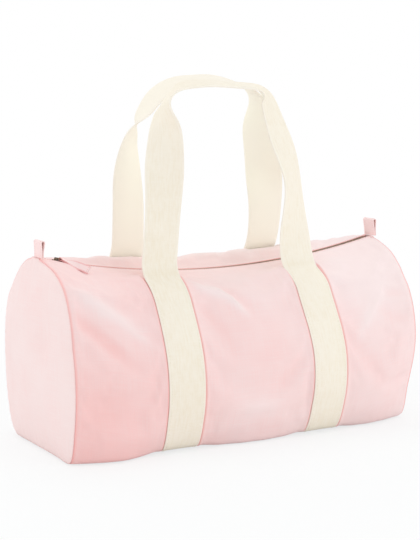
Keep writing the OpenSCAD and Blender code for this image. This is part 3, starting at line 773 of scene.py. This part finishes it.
def makeEnd(side, name, node):
    # rings that shrink towards the middle, domed by 1 - r squared, with a roll beside the seam
    row = 0 if side < 0 else -1
    rim, s = bodyOuter[row][:, 1:], bodyAround[row]
    closing = rim[-1] + (rim[0] - rim[-1]) * np.linspace(0, 1, endPanel["closing"])[1:-1, None]
    s = joined([s, s[-1] + np.linalg.norm(closing - rim[-1], axis=1)])
    rim = joined([rim, closing])
    middle = np.array([0, bag["height"] / 2])
    r = np.array(endPanel["rings"])[:, None]
    flat = middle + (rim - middle) * r[..., None]
    away = (1 - r) * np.linalg.norm(rim - middle, axis=1)
    y, z = flat[..., 0], flat[..., 1]
    height = endPanel["dome"] * (1 - r * r) + endPanel["roll"] * (1 - np.exp(-away / endPanel["rollReach"]))
    slackHere = slackWaves(y, z, endPanel["waveSeed"] + side, *endPanel["wave"])
    height += rimPucker(s + endPanel["puckerShift"], away) + ease(0, endPanel["waveFrom"], away) * slackHere
    # painted shade along the rim seam
    fold = ridge(away, *endPanel["paintedSeamShade"])
    for *places, depth, halfWidth in endCreases[side]:
        shape = lineShape(y, z, *places, depth, halfWidth) * ease(0, endPanel["creaseFrom"], away)
        height = height + shape
        # painted shade in the crease's groove
        fold = fold + endPanel["paintedCreaseShade"] * np.clip(-shape / 2, 0, 1)
    outer, inner = (np.stack([side * (halfLength + height - depth * (away > 0)), y, z], -1)
                    for depth in (0, endPanel["thick"]))
    inner[0] = np.column_stack([outer[0, :, 0], middle + (rim - middle) * endPanel["rimIn"]])
    skin = joined([outer[::-1], inner])
    rows, columns = skin.shape[:2]
    poles = np.mean(skin[[0, -1]], axis=1) + [side * endPanel["pole"], 0, 0]
    j = np.arange(columns)
    following = (j + 1) % columns
    total, lastRow = rows * columns, (rows - 1) * columns
    start = spread(total, following, j)
    end = spread(total + 1, lastRow + j, lastRow + following)
    points = joined([skin.reshape(-1, 3), poles])
    marks = {"fold": joined([joined([fold[::-1], fold]).ravel(), [0, 0]])}
    faces = [gridFaces(rows, columns), start, end]
    piece = makePiece(name, points, faces, endCloth, points[:, 1:], marks)
    fit(piece, "end_canvas", "bag", node)


# Bound seam allowance inside each end
binding = dict(inset=8.0, half=4.4, thick=2.2, x=248.5, around=16, square=0.5, wave=0.15, waveStep=9)


def makeBinding(side, name, node):
    # flattened tube carried round the outline, standing inwards from the seam
    p = section([side * binding["x"]] * 2)
    line = p[0, ::2, 1:]
    step = unit(np.roll(line, -1, 0) - np.roll(line, 1, 0))
    inwards = np.stack([-step[:, 1], step[:, 0]], 1)
    turn = np.linspace(0, 2 * pi, binding["around"], endpoint=False)
    wide, flat = (np.sign(v) * np.abs(v)**binding["square"] for v in (np.cos(turn), np.sin(turn)))
    far = lengthAlong(line)[:, None]
    reach = binding["inset"] + binding["half"] * wide
    inner = line[:, None] + inwards[:, None] * reach[:, None]
    x = side * binding["x"] + binding["thick"] / 2 * flat
    x = x + binding["wave"] * np.sin(far / binding["waveStep"])
    points = filled(joined([x[..., None], inner], -1))
    uv = spread(reach, far)
    piece = makePiece(name, points, [gridFaces(*points.shape[:2], True, True)], bindingCloth, uv)
    fit(piece, "binding", "bag", node)


sides = {-1: "left", 1: "right"}
for side, word in sides.items():
    makeEnd(side, word + "EndCanvas", word + "_end_panel")
for side, word in sides.items():
    makeBinding(side, word + "SeamBinding", word + "_seam_binding")
print("end panels made")


# Flat strips: webbing, loops and the puller
def stripPlaces(width, thick, inner):
    # places across a strip, crowded at its rounded edges, with half the thickness there
    r = thick / 2
    half = joined([np.array([0.03, 0.2, 0.6, 1.0]) * r, np.linspace(r, width / 2, inner)[1:]])
    across = joined([half - width / 2, width / 2 - half[-2::-1]])
    d = np.minimum(1, (width / 2 - np.abs(across)) / r)
    return across, r * np.sqrt(1 - (1 - d)**2)


def strip(line, wide, width, thick, inner, cup=0):
    # cross section carried along the line: out across one face and back on the other
    ahead = unit(np.gradient(line, axis=0))
    wide = unit(squareTo(wide, ahead))
    normal = np.cross(wide, ahead)
    across, half = stripPlaces(width, thick, inner)
    middle = line[:, None] + wide[:, None] * across[:, None]
    bow = np.reshape(cup, (-1, 1)) * (1 - (2 * across / width)**2)
    middle = middle + normal[:, None] * bow[..., None]
    rise = normal[:, None] * half[:, None]
    skin = joined([middle + rise, (middle - rise)[:, ::-1]], 1)
    both = joined([across, across[::-1]])
    far = lengthAlong(line)
    edge = np.broadcast_to(np.abs(2 * both / width)**6, skin.shape[:2])
    return skin, spread(both, far[:, None]), edge, wide, normal, far


def insideMark(shape, first, second):
    # the two faces of a strip marked as turned in or not, clear of its edges
    mark = np.zeros(shape)
    half = shape[1] // 2
    mark[:, 2:half - 2], mark[:, half + 2:-2] = first, second
    return mark


# One stitch: points along and round it, and how it thins and dips towards its ends
stitch = dict(rows=5, round=6, thins=0.7, dips=0.45, lowest=0.05)


def stitchRow(name, rows, material, slotName, body, length=2.9, thick=0.55, lift=0.22):
    # each stitch is a short bowed thread that dips into the cloth at both ends
    places, ahead, normal = (joined(v) for v in zip(*rows))
    a = np.linspace(-1, 1, stitch["rows"])[:, None]
    turn = np.linspace(0, 2 * pi, stitch["round"], endpoint=False)
    size = thick / 2 * np.sqrt(1 - stitch["thins"] * a * a)
    local = spread(a * length / 2, size * np.cos(turn),
                   size * np.sin(turn) + lift - stitch["dips"] * a * a).reshape(-1, 3)
    axes = np.stack([ahead, np.cross(normal, ahead), normal], 1)
    points = places[:, None] + np.einsum("vk,nkc->nvc", local, axes)
    points[..., 2] = np.maximum(points[..., 2], stitch["lowest"])
    ring = np.arange(stitch["round"])[None]
    one = [gridFaces(stitch["rows"], stitch["round"]), ring[:, ::-1], ring + len(local) - stitch["round"]]
    shift = len(local) * np.arange(len(places))[:, None, None]
    faces = [(f[None] + shift).reshape(-1, f.shape[1]) for f in one]
    fit(makePiece(name, points, faces, material), slotName, body)


def placesAlong(line, normal, far, step, first, last):
    # evenly spaced places on a line between two distances of far, with directions
    at = np.arange(first, last, step)
    spot, up, after, before = (
        np.stack([np.interp(at + shift, far, v[:, k]) for k in range(3)], 1)
        for v, shift in ((line, 0), (normal, 0), (line, 0.5), (line, -0.5)))
    up = unit(up)
    return spot, unit(squareTo(after - before, up)), up


# Webbing: one length for the front and one for the back, each two bands and a handle; the
# rows give place along, share of the height and turn of the handle from left to right
webbing = dict(
    width=50, thick=2.3, inner=9, lift=1.38, rootLift=4.25, trim=9, step=3.0, slope=0.17,
    driftReach=42, points=900, perRow=8, fromShare=0.045, softFrom=-16, softLine=2.4, softTurn=3.0,
    free=(20, 90), longWave=(0.9, 37), shortWave=(0.5, 17), lowest=0.02,
    paintedRootShade=(0.2, 4, 5), bendFrom=-4, bendTo=24, stitchIn=3.2, stitchStep=3.9, stitchFrom=4, stitchTo=9)
# each handle's tone is painted shading: a little painted shade on the front one, painted light on the back
# one
handles = {
    "front": dict(root=49, top=(-29.05, 459.3), tone=0.06, rows=[
        [-0.995, 0, -1], [-0.994, 0.04, 0], [-0.963, 0.12, 2], [-0.908, 0.3, 1],
        [-0.869, 0.46, -12], [-0.848, 0.58, -35], [-0.824, 0.69, -53], [-0.818, 0.78, -67],
        [-0.835, 0.85, -92], [-0.795, 0.903, -118], [-0.684, 0.943, -125], [-0.565, 0.974, -107],
        [-0.423, 0.994, -96], [-0.221, 0.998, -91], [0.002, 0.992, -91], [0.226, 0.984, -93],
        [0.407, 0.978, -98], [0.543, 0.962, -114], [0.612, 0.931, -138], [0.668, 0.872, -144],
        [0.721, 0.802, -147], [0.769, 0.735, -152], [0.833, 0.665, -154], [0.897, 0.59, -152],
        [0.949, 0.505, -146], [0.973, 0.41, -146], [0.97, 0.3, -154], [0.959, 0.17, -170],
        [0.965, 0.05, -181], [0.972, 0, -181]]),
    "back": dict(root=51.5, top=(26.4, 471.7), tone=-0.25, rows=[
        [-0.946, 0, 9], [-0.95, 0.05, 9], [-0.952, 0.13, 9], [-0.963, 0.28, 11],
        [-0.991, 0.42, 17], [-0.997, 0.53, 28], [-0.979, 0.62, 41], [-0.922, 0.69, 45],
        [-0.861, 0.75, 73], [-0.769, 0.8, 84], [-0.695, 0.85, 87], [-0.599, 0.892, 89],
        [-0.458, 0.932, 89], [-0.259, 0.96, 90], [-0.002, 0.968, 90], [0.224, 0.971, 90],
        [0.422, 0.957, 89], [0.62, 0.929, 87], [0.81, 0.88, 86], [0.866, 0.812, 88],
        [0.846, 0.738, 99], [0.856, 0.67, 111], [0.897, 0.6, 117], [0.947, 0.52, 126],
        [0.996, 0.44, 142], [1.031, 0.35, 163], [1.052, 0.25, 175], [1.053, 0.13, 181],
        [1.039, 0.05, 183], [1.029, 0, 182]]),
}
faces = {-1: "front", 1: "back"}


def handlePath(rows, top, root):
    # a smooth line through the rows above the root, and the webbing's direction across it
    smooth = catmull(rows, np.linspace(0, len(rows) - 1, webbing["perRow"] * len(rows)))
    smooth = smooth[smooth[:, 1] > webbing["fromShare"]]
    turn = np.radians(smooth[:, 2])
    line = np.column_stack([smooth[:, 0] * bag["strapX"],
                            root + (np.array(top) - root) * smooth[:, 1:2]])
    return line, np.stack([np.cos(turn), np.sin(turn), webbing["slope"] * np.sin(turn)], 1)


def makeWebbing(sign, word):
    # path: middle of the underside, up one band, round the handle, down the other band;
    # each band drifts sideways to its leg near the root
    own = handles[word]
    t = np.linspace(len(bag[word]), 1, webbing["points"])
    flat = sideOutline([bag["strapX"]], t, bag[word], bag[word + "Rise"])[0] * [sign, 1]
    flat = flat[:np.where(np.abs(flat[:, 0]) > own["root"])[0][-1] + 1]
    step = unit(np.gradient(flat, axis=0))
    outwards = np.stack([step[:, 1], -step[:, 0]], 1) * sign
    band = flat + outwards * webbing["lift"]
    climb = lengthAlong(band)
    band = band[climb < climb[-1] - webbing["trim"]]
    climb = lengthAlong(band)
    drift = bag["strapX"] * ease(webbing["driftReach"], 0, climb[-1] - climb)
    middle, middleWide = handlePath(own["rows"], own["top"], flat[-1] + outwards[-1] * webbing["rootLift"])
    left = np.column_stack([-bag["strapX"] + (own["rows"][0][0] + 1) * drift, band])
    right = np.column_stack([bag["strapX"] + (own["rows"][-1][0] - 1) * drift, band])[::-1]
    wide = joined([np.tile([1.0, 0, 0], (len(left), 1)), middleWide,
                           np.tile([-1.0, 0, 0], (len(right), 1))])
    line, wide = evenly(joined([left, middle, right]), webbing["step"], wide)
    far = lengthAlong(line)
    bandLength = lengthAlong(left)[-1]
    fromBand = np.minimum(far, far[-1] - far) - bandLength
    weight = ease(webbing["softFrom"], 0, fromBand)
    line = soften(line, webbing["softLine"], weight)
    wide = unit(soften(unit(wide), webbing["softTurn"], weight))
    (high, long), (low, short) = webbing["longWave"], webbing["shortWave"]
    wander = ease(*webbing["free"], fromBand) * (
        high * np.sin(far / long + sign) + low * np.sin(far / short))
    skin, uv, edge, wide, normal, far = strip(
        line, wide, webbing["width"], webbing["thick"], webbing["inner"], cup=wander)
    skin = filled(skin)
    skin[..., 2] = np.maximum(skin[..., 2], webbing["lowest"])
    # painted shade in a band at the fold over the root, plus the handle's painted shading
    tone = ridge(fromBand, *webbing["paintedRootShade"]) + own["tone"]
    marks = {"edge": edge, "inside": insideMark(edge.shape, sign > 0, sign < 0),
             "fold": np.broadcast_to(tone[:, None], edge.shape)}
    piece = stripPiece(word + "Webbing", skin, uv, webbingCloth, marks)
    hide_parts(word + "_handle", "left_band", "right_band")
    before, after = (line[np.argmin(np.abs(far - bandLength - webbing[key]))] * mm * [0, 1, 1]
                     for key in ("bendFrom", "bendTo"))
    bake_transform(piece)
    # a row of stitches along both edges of both bands, up to just below the fold
    rows = []
    start, top = webbing["stitchFrom"], bandLength - webbing["stitchTo"]
    for first, last in ((start, top), (far[-1] - top, far[-1] - start)):
        for side in (-1, 1):
            edgeLine = line + wide * side * (webbing["width"] / 2 - webbing["stitchIn"])
            edgeLine = filled(edgeLine - sign * normal * webbing["thick"] / 2)
            rows.append(placesAlong(edgeLine, -sign * normal, far, webbing["stitchStep"], first, last))
    stitchRow(word + "WebbingStitches", rows, creamThread, "webbing", "bag")


for sign, word in faces.items():
    makeWebbing(sign, word)
print("webbing made")

# Zip tapes: a flat woven strip with a cord along its edge, bent along the arc
tape = dict(radius=topRadius + 1.7, thick=0.8, beadR=0.75, beadY=1.9, edgeY=12.9, edgeRound=6,
            half=247, least=0.03, points=220, places=[
                1.17, 1.25, 1.45, 1.7, 1.95, 2.2, 2.45, 2.62, 2.8, 3.4, 4.4, 5.6, 7.2, 9, 11,
                12.5, 12.8, 12.89])
hemRow = dict(y=8.4, half=243, apart=0.5, sunk=0.18, step=3.8, first=1, last=488)


def makeTape(sign, name, node):
    # height over the middle of the tape: a half circle at the bead, then a flat strip
    y = np.array(tape["places"])
    bead = np.sqrt(np.maximum(0, tape["beadR"]**2 - (y - tape["beadY"])**2))
    flat = tape["thick"] / 2 * np.sqrt(np.clip((tape["edgeY"] - y) * tape["edgeRound"], 0, 1))
    half = np.maximum(np.maximum(bead, np.where(y > tape["beadY"], flat, 0)), tape["least"])
    turn = np.linspace(-1, 1, tape["points"])[:, None] * math.asin(tape["half"] / tape["radius"])
    r = tape["radius"] - joined([half, -half[::-1]])
    wide = joined([y, y[::-1]])
    skin = spread(r * np.sin(turn), sign * wide, arcZ - r * np.cos(turn))
    marks = {"fold": np.zeros(skin.shape[:2])}
    piece = stripPiece(name, skin, spread(wide, turn * tape["radius"]), tapeCloth, marks)
    fit(piece, "zip_tape", "bag", node)


def hemStitches(sign, name):
    # one row through the folded canvas beside the zip
    x = np.arange(-hemRow["half"], hemRow["half"] + 0.1, hemRow["apart"])
    line = spread(x, sign * hemRow["y"], topHeight(x) - hemRow["sunk"])
    row = placesAlong(line, upwards(x), lengthAlong(line), hemRow["step"], hemRow["first"], hemRow["last"])
    stitchRow(name, [row], pinkThread, "canvas", "bag")


for sign, word in faces.items():
    makeTape(sign, word + "ZipTape", word + "_zip_tape")
for sign, word in faces.items():
    hemStitches(sign, word + "HemStitches")
print("zip made")

# Folded puller on the ring, sewn flat: places along, sideways and up from the slider; the
# sheet's bends under and over the ring's bar are given by place and rise
puller = dict(ringLength=6.5, barZ=5.05, yaw=54, restX=222, length=42, width=10.6, thick=1.1,
              pressed=0.12, inner=6, step=0.6, perPoint=12, foldR=1.55, fold=(-112, -262, 11),
              lowZ=-2.2, highZ=-1.1, farIn=0.6, under=[(30, 0), (16, 0), (8, 0), (4.6, 0.1)],
              over=[(4.6, 0.35), (8, 0.1), (16, 0.12), (30, 0.1)], roll=62, rollAlong=(2, 28),
              droop=5.5, droopFrom=2, droopPower=1.4, edgePower=0.4, paintedBarShade=0.4, barReach=3)
# the puller's stitch rows: from, to, spacing of places, stitch step, first, last, height
pullerRows = dict(side=3.7, along=(5.5, 40.1, 0.5, 3.0, 0.5, 33.5, 0.1),
                  end=39.6, across=(-3.4, 3.41, 0.4, 2.6, 0.8, 6.2, 0.06))


def onSlider(p):
    # from the slider's own directions to the bag's: turned by the yaw, then carried on the arc
    ahead, aside = turned(p[..., 0], p[..., 1], math.radians(puller["yaw"]))
    x, z = turned(ahead, p[..., 2] - tape["radius"], math.asin(puller["restX"] / tape["radius"]))
    return np.stack([x, aside, z + arcZ], -1)


def rolled(p):
    # turned about its middle and bent down, both more towards the far end, so that it
    # hangs over the front of the bag
    turn = math.radians(puller["roll"]) * ease(*puller["rollAlong"], p[..., 0])
    hanging = np.maximum(p[..., 0] - puller["droopFrom"], 0) / puller["length"]
    y, z = turned(p[..., 1], p[..., 2] - puller["lowZ"], -turn)
    return np.stack([p[..., 0], y, z + puller["lowZ"] - puller["droop"] * hanging**puller["droopPower"]], -1)


def pullerStitches(shift):
    # two rows along the puller and one across its end, rolled with it
    top = puller["highZ"] + puller["thick"] / 2
    rows = []
    for sideways in (-pullerRows["side"], pullerRows["side"]):
        start, end, apart, step, first, last, lift = pullerRows["along"]
        x = np.arange(start, end, apart)
        rows.append(placesAlong(spread(x, sideways, top + lift), upwards(x), x - x[0], step, first, last))
    start, end, apart, step, first, last, lift = pullerRows["across"]
    x = np.arange(start, end, apart)
    line = spread(pullerRows["end"], x, top + lift)
    rows.append(placesAlong(line, upwards(x), x - x[0], step, first, last))
    spot, direction, up = (joined(v) for v in zip(*rows))
    zero, place = onSlider(np.zeros(3)), rolled(spot)
    direction, up = (onSlider(unit(rolled(spot + 0.1 * v) - place)) - zero for v in (direction, up))
    row = onSlider(place + shift), direction, unit(squareTo(up, direction))
    stitchRow("pullerStitches", [row], pullerThread, "puller_canvas", "puller",
              length=2.1, thick=0.42, lift=0.12)


def makePuller():
    # sheet that runs in along the underside, round the ring's bar and out along the top
    bend = np.radians(np.linspace(*puller["fold"]))
    far, low, high = puller["length"] - puller["farIn"], puller["lowZ"], puller["highZ"]
    path = np.array([[far, low]] + [[x, low + rise] for x, rise in puller["under"]]
                    + [[puller["foldR"] * math.cos(a), puller["foldR"] * math.sin(a)] for a in bend]
                    + [[x, high + rise] for x, rise in puller["over"]] + [[far, high]])
    path = catmull(path, np.linspace(0, len(path) - 1, puller["perPoint"] * len(path)))
    line, = evenly(spread(path[:, 0], 0, path[:, 1]), puller["step"])
    shift = np.array([puller["ringLength"], 0, puller["barZ"]])
    wide = np.tile([0.0, 1, 0], (len(line), 1))
    thick = puller["thick"] - puller["pressed"]
    skin, uv, edge = strip(line, wide, puller["width"], thick, puller["inner"])[:3]
    # painted shade where the sheet folds round the ring's bar
    fold = puller["paintedBarShade"] * np.exp(-line[:, :1] / puller["barReach"])
    marks = {"edge": edge**puller["edgePower"], "fold": np.broadcast_to(fold, edge.shape)}
    piece = stripPiece("zipPuller", onSlider(rolled(skin) + shift), uv, pullerCloth, marks)
    fit(piece, "puller_canvas", "puller", "zip_puller")
    pullerStitches(shift)


makePuller()
print("puller made")

# Folded loops on the end seams; leg gives places sideways and up on one side
loop = dict(width=25, height={-1: 20.5, 1: 22.5}, shift={-1: 10.5, 1: 5}, depth=5.8, thick=1.35,
            lean=3, axisZ=246.8, leg=[(0.75, -1.2), (0.85, 2), (1.0, 7), (1.6, 12.5)], inner=8,
            around=15, perPoint=10, step=0.8, stitchIn=3.0, stitchStep=3.3, stitchFrom=4,
            paintedFootShade=0.3, footReach=3)


def makeLoop(side, word):
    # strip up one leg, over a half circle and down the other leg
    r = (loop["depth"] - loop["thick"]) / 2
    top = loop["height"][side] - loop["depth"] / 2
    bend = np.linspace(pi, 0, loop["around"])
    leg = np.array(loop["leg"])
    path = joined([leg * [-1, 1], np.stack([r * np.cos(bend), top + r * np.sin(bend)], 1),
                           leg[::-1]])
    path = catmull(path, np.linspace(0, len(path) - 1, loop["perPoint"] * len(path)))
    x, z = turned(path[:, 0], path[:, 1], math.radians(-side * loop["lean"]))
    line = spread(side * halfLength + x, -loop["shift"][side], loop["axisZ"] + z)
    line, = evenly(line, loop["step"])
    wide = np.tile([0.0, 1, 0], (len(line), 1))
    skin, uv, edge, wide, normal, far = strip(line, wide, loop["width"], loop["thick"], loop["inner"])
    # painted shade at the loop's foot, where it goes into the seam
    fold = loop["paintedFootShade"] * np.exp(-(line[:, 2:] - loop["axisZ"]) / loop["footReach"])
    marks = {"inside": insideMark(edge.shape, 1, 0), "fold": np.broadcast_to(fold, edge.shape)}
    piece = stripPiece(word + "Loop", skin, uv, loopCloth, marks)
    fit(piece, "loop_canvas", word + "_loop", word + "_end_loop")
    rows = []
    for one in (-1, 1):
        edgeLine = line + wide * one * (loop["width"] / 2 - loop["stitchIn"]) - normal * loop["thick"] / 2
        rows.append(placesAlong(edgeLine, -normal, far, loop["stitchStep"], loop["stitchFrom"],
                                far[-1] - loop["stitchFrom"]))
    stitchRow(word + "LoopStitches", rows, pinkThread, "loop_canvas", word + "_loop",
              length=2.4, thick=0.45, lift=0.14)


for side, word in sides.items():
    makeLoop(side, word)
print("loops made")


def dress(material, *nodes):
    # metal nodes keep their shape and get worn brass
    for node in nodes:
        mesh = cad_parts[node].data
        mesh.materials.clear()
        mesh.materials.append(material)


dress(zipBrass, "front_zip_teeth", "back_zip_teeth", "zip_top_stops", "zip_bottom_stop")
dress(sliderBrass, "slider_top_plate", "slider_bottom_plate", "slider_crown", "puller_ring")

# Floor and light: each lamp has its place, power and size
studio = dict(floorSize=9, worldLight=0.8, plain=(0.92, 0.95, 0.955, 1), dim=(0.9, 0.9, 0.9, 1),
              white=(1, 1, 1, 1), clear=(0.3, 1.1), leastWhite=0.75, aimZ=0.15,
              keyLight=((1.15, -1.35, 1.15), 1.2, 1.0), sideLight=((-2.6, 0.4, 1.0), 11.4, 1.6),
              topLight=((0.3, 0.8, 2.6), 9.6, 1.6), frontLight=((1.55, -2.05, 0.2), 15.6, 1.8))


def makeFloor():
    # pale floor that melts into the white background away from the bag
    half = studio["floorSize"] / 2
    mesh = bpy.data.meshes.new("floor")
    corners = [(-half, -half, 0), (half, -half, 0), (half, half, 0), (-half, half, 0)]
    mesh.from_pydata(corners, [], [(0, 1, 2, 3)])
    material, start, place = newMaterial("floorWhite")
    far = start.node("VectorMath", {"operation": "LENGTH"}, {0: place}, 1)
    seen = start.node("LightPath", out="Is Camera Ray")
    plain, dim = (start.node("BsdfDiffuse", {}, {"Color": studio[key]})
                  for key in ("plain", "dim"))
    white = start.node("Emission", {}, {"Color": studio["white"], "Strength": 1.0})
    share = far.within(*studio["clear"]) * (1 - studio["leastWhite"]) + studio["leastWhite"]
    near = start.node("MixShader", {}, {0: share, 1: plain, 2: white})
    both = start.node("MixShader", {}, {0: seen, 1: dim, 2: near})
    start.node("OutputMaterial", {}, {"Surface": both})
    mesh.materials.append(material)
    inScene("floor", mesh)


def makeWorld():
    # even light from all round; what the camera, metal and glass see is white
    world = bpy.data.worlds.new("studio")
    bpy.context.scene.world = world
    world.use_nodes = True
    world.node_tree.nodes.clear()
    start = Value(world.node_tree)
    seen = start.node("LightPath", out="Is Camera Ray")
    white = start.sum("MAXIMUM", seen, seen.other("Is Glossy Ray"))
    white = start.sum("MAXIMUM", white, seen.other("Is Transmission Ray"))
    strength = white * (1 - studio["worldLight"]) + studio["worldLight"]
    light = start.node("Background", {}, {"Color": studio["white"], "Strength": strength})
    start.node("OutputWorld", {}, {"Surface": light})


def makeLight(name):
    # square lamp that faces a point a little above the middle of the floor
    place, power, size = studio[name]
    lamp = bpy.data.lights.new(name, "AREA")
    lamp.energy, lamp.size = power, size
    back = unit(np.array(place) - [0, 0, studio["aimZ"]])
    side = unit(np.cross([0, 0, 1], back))
    inScene(name, lamp, [side, np.cross(back, side), back], place)


makeFloor()
makeWorld()
for name in ("keyLight", "sideLight", "topLight", "frontLight"):
    makeLight(name)

# Camera fitted to the photograph's outlines: turned right, tipped down, a long lens
view = dict(place=(-0.945, -1.735, 0.472), yaw=28.5, pitch=7.5, roll=-0.3, lens=100, film=36,
            nearest=0.05, farthest=60)


def makeCamera():
    # looks along yaw and pitch, with its sides turned by the roll
    yaw, pitch, roll = (math.radians(view[k]) for k in ("yaw", "pitch", "roll"))
    ahead = np.array([math.sin(yaw) * math.cos(pitch), math.cos(yaw) * math.cos(pitch), -math.sin(pitch)])
    side = np.array([math.cos(yaw), -math.sin(yaw), 0])
    lens = bpy.data.cameras.new("camera")
    lens.lens, lens.sensor_width, lens.sensor_fit = view["lens"], view["film"], "AUTO"
    lens.clip_start, lens.clip_end = view["nearest"], view["farthest"]
    axes = [*turned(side, np.cross(side, ahead), roll), -ahead]
    bpy.context.scene.camera = inScene("camera", lens, axes, view["place"])


makeCamera()
bpy.context.scene.view_settings.view_transform = "Standard"
print("studio made")

bpy.context.view_layer.update()
